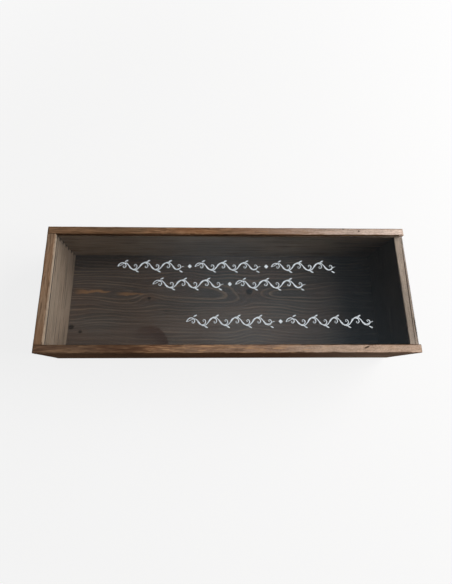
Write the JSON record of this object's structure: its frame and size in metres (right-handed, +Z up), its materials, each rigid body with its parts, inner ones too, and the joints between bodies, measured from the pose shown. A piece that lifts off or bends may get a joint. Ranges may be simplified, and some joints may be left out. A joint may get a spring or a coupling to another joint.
{
  "type": "wooden wine box",
  "caption": "Long wooden bottle box of nailed boards, with a clear lid that slides in grooves and leaves over the lower end board.",
  "frame": {"origin": "on the underside of the bottom board, below the middle of the box", "axes": "+X along the box to the lower end, where the lid leaves it; +Y across the box to its back; +Z up"},
  "size_m": [0.38, 0.128, 0.096],
  "materials": {
    "stained_wood": "stained softwood, open grain, matt",
    "dark_stained_wood": "dark stained softwood, matt",
    "clear_sheet": "clear cast acrylic, polished",
    "nail_steel": "plain wire nail"
  },
  "bodies": {
    "box": {"front_side": "stained_wood", "back_side": "stained_wood", "closed_end": "stained_wood", "lid_end": "stained_wood", "bottom_board": "dark_stained_wood", "corner_nails": "nail_steel", "bottom_nails": "nail_steel"},
    "lid": {"sliding_lid": "clear_sheet"}
  },
  "joints": [
    {"name": "lid_slide", "type": "slide", "parent": "box", "child": "lid", "axis": [1, 0, 0], "range_m": [0, 0.38]}
  ]
}
